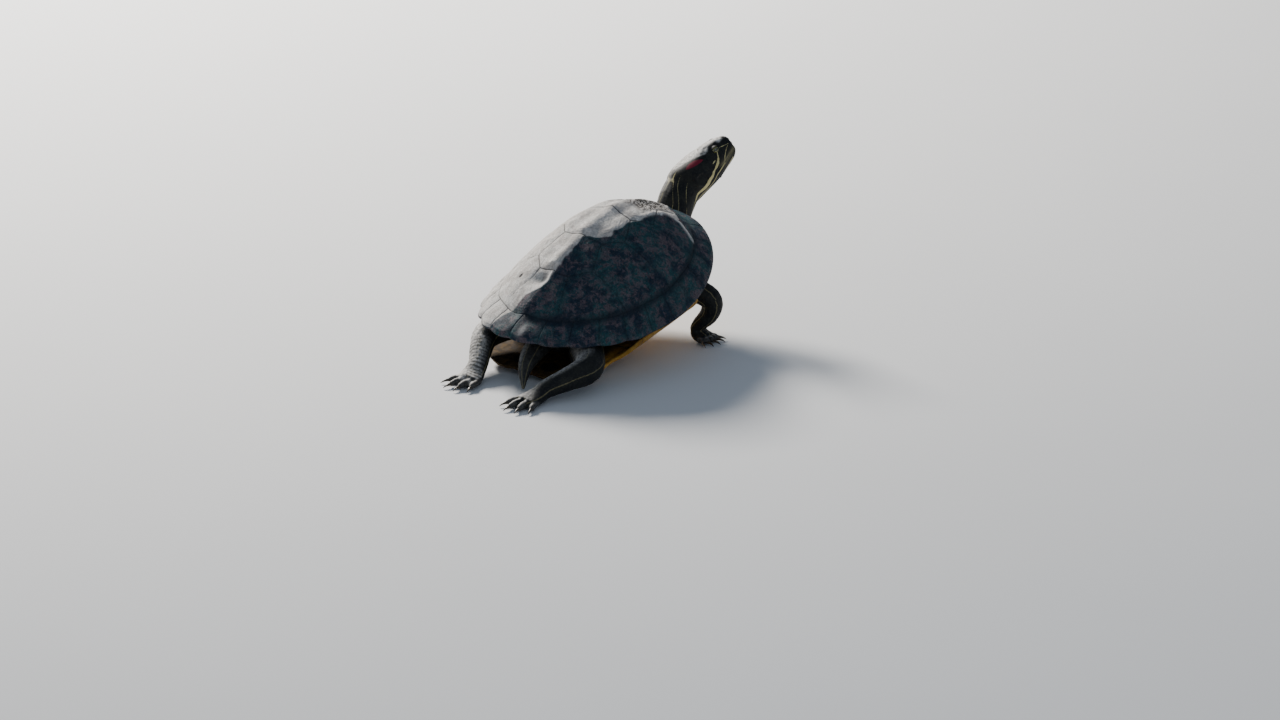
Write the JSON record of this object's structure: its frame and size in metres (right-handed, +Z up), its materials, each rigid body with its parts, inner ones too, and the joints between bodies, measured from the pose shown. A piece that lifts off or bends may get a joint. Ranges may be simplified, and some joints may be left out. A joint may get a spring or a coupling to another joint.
{
  "type": "red-eared slider turtle",
  "caption": "Life-size still model of a red-eared slider turtle that basks with its neck raised and its legs spread, standing on its feet and the rear of its lower shell.",
  "frame": {"origin": "floor point under the middle of the bounding box", "axes": "+X toward the head, +Y toward the animal's left, +Z up"},
  "size_m": [0.3136, 0.1534, 0.1302],
  "materials": {
    "skin": "fine scaly skin, dark olive with cream stripes",
    "carapace_horn": "dry dusty horn plates, mottled olive and brown",
    "plastron_horn": "worn horn plates, yellow with dark blotches",
    "claw_horn": "smooth dark horn",
    "eye": "wet gloss"
  },
  "bodies": {
    "root": {"carapace": "carapace_horn", "plastron": "plastron_horn", "trunk": "skin", "neck": "skin", "head": "skin", "jaw": "skin", "tail": "skin", "foreleg_left_upper": "skin", "foreleg_left_lower": "skin", "foreleg_left_foot": "skin", "foreleg_right_upper": "skin", "foreleg_right_lower": "skin", "foreleg_right_foot": "skin", "hindleg_left_upper": "skin", "hindleg_left_lower": "skin", "hindleg_left_foot": "skin", "hindleg_right_upper": "skin", "hindleg_right_lower": "skin", "hindleg_right_foot": "skin", "eye_left": "eye", "eye_right": "eye", "foreleg_left_claw_1": "claw_horn", "foreleg_left_claw_2": "claw_horn", "foreleg_left_claw_3": "claw_horn", "foreleg_left_claw_4": "claw_horn", "foreleg_left_claw_5": "claw_horn", "foreleg_right_claw_1": "claw_horn", "foreleg_right_claw_2": "claw_horn", "foreleg_right_claw_3": "claw_horn", "foreleg_right_claw_4": "claw_horn", "foreleg_right_claw_5": "claw_horn", "hindleg_left_claw_1": "claw_horn", "hindleg_left_claw_2": "claw_horn", "hindleg_left_claw_3": "claw_horn", "hindleg_left_claw_4": "claw_horn", "hindleg_right_claw_1": "claw_horn", "hindleg_right_claw_2": "claw_horn", "hindleg_right_claw_3": "claw_horn", "hindleg_right_claw_4": "claw_horn"}
  },
  "joints": []
}
